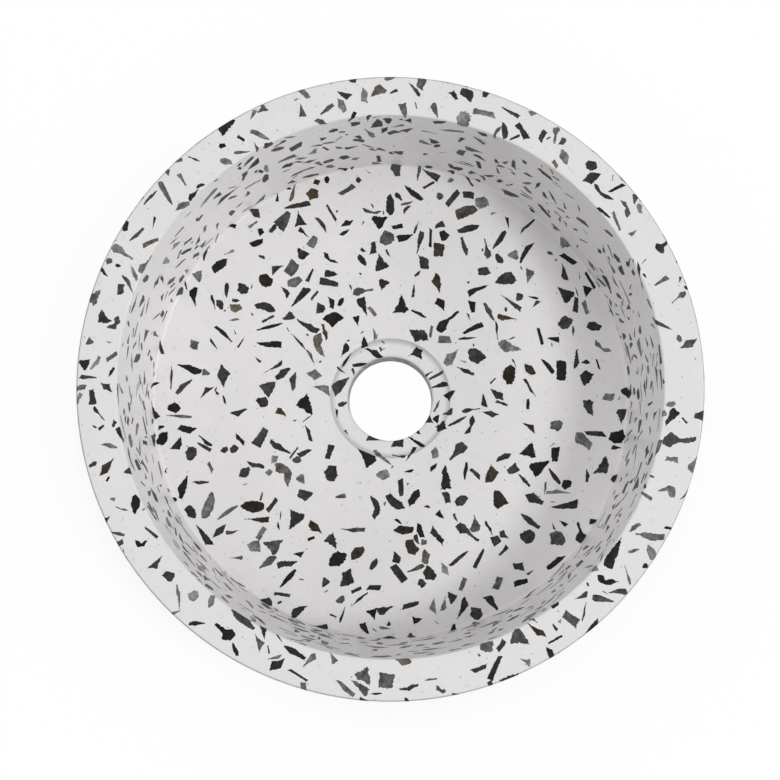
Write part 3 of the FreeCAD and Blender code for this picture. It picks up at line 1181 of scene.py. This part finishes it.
def speck_tree():
    """Geometry nodes that scatter flat specks over a casting."""
    tree = bpy.data.node_groups.new("specks", "GeometryNodeTree")
    tree.interface.new_socket("Geometry", in_out="OUTPUT", socket_type="NodeSocketGeometry")
    for name, kind in (
        ("Casting", "NodeSocketObject"),
        ("Spacing", "NodeSocketFloat"),
        ("Density", "NodeSocketFloat"),
        ("Least", "NodeSocketFloat"),
        ("Most", "NodeSocketFloat"),
        ("Seed", "NodeSocketInt"),
        ("Stone", "NodeSocketMaterial"),
    ):
        tree.interface.new_socket(name, in_out="INPUT", socket_type=kind)
    start = Wire(tree)
    given = tree.nodes.new("NodeGroupInput")

    def value(name):
        """One of the tree's named inputs."""
        return Wire(tree, given.outputs[name])

    def drawn(low, high, step):
        """A random number for each speck, by a seed so many steps on."""
        inputs = {2: low, 3: high, "Seed": value("Seed") + step}
        return start.node("FunctionNodeRandomValue", {"data_type": "FLOAT"}, inputs, 1)

    casting = start.node(
        "GeometryNodeObjectInfo", {"transform_space": "RELATIVE"}, {"Object": value("Casting")}, "Geometry"
    )
    points = start.node(
        "GeometryNodeDistributePointsOnFaces",
        {"distribute_method": "POISSON"},
        {
            "Mesh": casting,
            "Distance Min": value("Spacing"),
            "Density Max": value("Density"),
            "Seed": value("Seed"),
        },
        "Points",
    )
    spin = start.node(
        "FunctionNodeRandomValue",
        {"data_type": "FLOAT_VECTOR"},
        {0: (0, 0, 0), 1: (0, 0, FULL_TURN), "Seed": value("Seed")},
    )
    spun = start.node("FunctionNodeEulerToRotation", None, {"Euler": spin})
    turned = start.node(
        "FunctionNodeRotateRotation",
        {"rotation_space": "LOCAL"},
        {"Rotation": points.other("Rotation"), "Rotate By": spun},
    )
    long = drawn(value("Least"), value("Most"), 1)
    slim = drawn(*SPECK_SLIM, 2)
    size = start.node("ShaderNodeCombineXYZ", None, {"X": long, "Y": long * slim, "Z": 1.0})
    shape = start.node(
        "GeometryNodeMeshCylinder",
        {"fill_type": "NGON"},
        {"Vertices": SPECK_SIDES, "Radius": 0.5, "Depth": SPECK_THICKNESS},
        "Mesh",
    )
    specks = start.node(
        "GeometryNodeInstanceOnPoints",
        None,
        {"Points": points, "Instance": shape, "Rotation": turned, "Scale": size},
        "Instances",
    )
    tone = drawn(*SPECK_TONES, 3)
    toned = start.node(
        "GeometryNodeStoreNamedAttribute",
        {"data_type": "FLOAT", "domain": "INSTANCE"},
        {"Geometry": specks, "Name": "tone", "Value": tone},
    )
    real = start.node("GeometryNodeRealizeInstances", None, {"Geometry": toned})
    painted = start.node("GeometryNodeSetMaterial", None, {"Geometry": real, "Material": value("Stone")})
    result = tree.nodes.new("NodeGroupOutput")
    tree.links.new(painted.socket, result.inputs["Geometry"])
    return tree


class BASIN_OT_specks(bpy.types.Operator):
    """Scatters the fine specks of stone dust over the casting"""

    bl_idname = "basin.specks"
    bl_label = "Fine Specks"

    def execute(self, context):
        looks = context.scene.basin_looks
        material = bpy.data.materials["grey_stone"]
        tree = speck_tree()
        carrier = bpy.data.objects.new("speck_carrier", bpy.data.meshes.new("speck_carrier"))
        context.scene.collection.objects.link(carrier)
        modifier = carrier.modifiers.new("Specks", "NODES")
        modifier.node_group = tree
        values = {
            "Casting": bpy.data.objects["cement_casting"],
            "Spacing": looks.speck_spacing,
            "Density": SPECK_DENSITY,
            "Least": looks.speck_least,
            "Most": looks.speck_most,
            "Seed": looks.seed,
            "Stone": material,
        }
        for item in tree.interface.items_tree:
            if item.in_out == "INPUT":
                modifier[item.identifier] = values[item.name]
        context.view_layer.update()
        evaluated = carrier.evaluated_get(context.evaluated_depsgraph_get())
        mesh = bpy.data.meshes.new_from_object(evaluated)
        bpy.data.objects.remove(carrier)
        if not mesh.polygons:
            raise RuntimeError("the specks came out empty")
        mesh.name = "stone_specks"
        finish_piece("stone_specks", mesh, material)
        return {"FINISHED"}


def floor_finish():
    """A white floor that keeps the basin's shadow and lights the basin as plain grey paint would."""
    material, start, surface = new_material("pale_floor")
    seen = seen_directly(start)
    reach, _ = reach_and_height(start, start.node("ShaderNodeTexCoord", output="Object"))
    hidden = reach.ramp(FLOOR_GLOW)
    paint = start.node("ShaderNodeBsdfDiffuse", None, {"Color": seen.blend(FLOOR_PAINT, FLOOR_SEEN)})
    glow = start.node("ShaderNodeEmission", None, {"Color": WHITE, "Strength": 1.0})
    mixed = start.node("ShaderNodeMixShader", None, {0: seen * hidden, 1: paint, 2: glow})
    start.tree.links.new(mixed.socket, surface)
    return material


def seen_directly(start):
    """One for rays from the camera, and for mirrored or bent ones, and zero for the rest."""
    path = start.node("ShaderNodeLightPath", output="Is Camera Ray")
    bounced = start.maths("MAXIMUM", path.other("Is Glossy Ray"), path.other("Is Transmission Ray"))
    return start.maths("MAXIMUM", path, bounced)


def add_lamp(name, power, azimuth, elevation, size, target):
    """A square soft lamp aimed at a point, at a compass angle and a height angle in degrees."""
    lamp = bpy.data.lights.new(name, "AREA")
    lamp.energy = power
    lamp.size = size
    light = bpy.data.objects.new(name, lamp)
    flat = LAMP_DISTANCE * math.cos(math.radians(elevation))
    offset = Vector((
        flat * math.cos(math.radians(azimuth)),
        flat * math.sin(math.radians(azimuth)),
        LAMP_DISTANCE * math.sin(math.radians(elevation)),
    ))
    light.location = target + offset
    light.rotation_euler = (-offset).to_track_quat("-Z", "Y").to_euler()
    light.visible_camera = False
    light.visible_glossy = name == MIRRORED_LAMP
    bpy.context.scene.collection.objects.link(light)


class BASIN_OT_stage(bpy.types.Operator):
    """Sets up the floor, the light and the camera"""

    bl_idname = "basin.stage"
    bl_label = "Stage"

    def execute(self, context):
        scene = context.scene
        settings = scene.basin_stage
        scene.view_settings.view_transform = "Standard"
        floor = bpy.data.meshes.new("floor")
        signs = ((-1, -1), (1, -1), (1, 1), (-1, 1))
        corners = [(x * FLOOR_REACH, y * FLOOR_REACH, -FLOOR_BELOW) for x, y in signs]
        floor.from_pydata(corners, [], [range(len(corners))])
        floor.materials.append(floor_finish())
        ground = bpy.data.objects.new("floor", floor)
        scene.collection.objects.link(ground)
        self.set_world(scene, settings.horizon)
        target = Vector((0, 0, scene.basin_sizes.height))
        for name, share, azimuth, elevation, size in LAMPS:
            power = FULL_LEVEL_WATTS * share * settings.lamp_level
            add_lamp(name, power, azimuth, elevation, size, target)
        lens = bpy.data.cameras.new("camera")
        lens.lens = settings.lens_mm
        lens.sensor_width = SENSOR_MM
        camera = bpy.data.objects.new("camera", lens)
        camera.location = settings.camera_place
        camera.rotation_euler = (settings.camera_tilt, 0, 0)
        scene.collection.objects.link(camera)
        scene.camera = camera
        return {"FINISHED"}

    @staticmethod
    def set_world(scene, horizon):
        """Even light from low down all round, white where it is seen."""
        world = bpy.data.worlds.new("surround")
        scene.world = world
        world.use_nodes = True
        tree = world.node_tree
        tree.nodes.clear()
        start = Wire(tree)
        way = start.node("ShaderNodeTexCoord", output="Generated")
        rise = start.node("ShaderNodeSeparateXYZ", None, {"Vector": way}, "Z")
        low = rise.ramp(HORIZON_FADE)
        strength = start.maths("MAXIMUM", low * horizon, seen_directly(start))
        glow = start.node("ShaderNodeBackground", None, {"Color": WHITE, "Strength": strength})
        out = tree.nodes.new("ShaderNodeOutputWorld")
        tree.links.new(glow.socket, out.inputs["Surface"])


class BASIN_PT_panel(bpy.types.Panel):
    """Lists the basin's sizes and steps"""

    bl_idname = "BASIN_PT_panel"
    bl_label = "Terrazzo Basin"
    bl_space_type = "VIEW_3D"
    bl_region_type = "UI"
    bl_category = "Basin"

    def draw(self, context):
        for group in (context.scene.basin_sizes, context.scene.basin_looks, context.scene.basin_stage):
            box = self.layout.box()
            for name in group.__annotations__:
                box.prop(group, name)
        for operator in OPERATORS:
            self.layout.operator(operator.bl_idname)


OPERATORS = (BASIN_OT_casting, BASIN_OT_chips, BASIN_OT_specks, BASIN_OT_stage)
GROUPS = {"basin_sizes": BasinSizes, "basin_looks": BasinLooks, "basin_stage": BasinStage}
CLASSES = (*GROUPS.values(), *OPERATORS, BASIN_PT_panel)


def register():
    for item in CLASSES:
        bpy.utils.register_class(item)
    for name, group in GROUPS.items():
        setattr(bpy.types.Scene, name, PointerProperty(type=group))


def unregister():
    for name in GROUPS:
        delattr(bpy.types.Scene, name)
    for item in reversed(CLASSES):
        bpy.utils.unregister_class(item)


def main():
    """Makes the basin and its stage."""
    register()
    bpy.ops.basin.casting()
    bpy.ops.basin.chips()
    bpy.ops.basin.specks()
    bpy.ops.basin.stage()


if __name__ == "__main__":
    main()
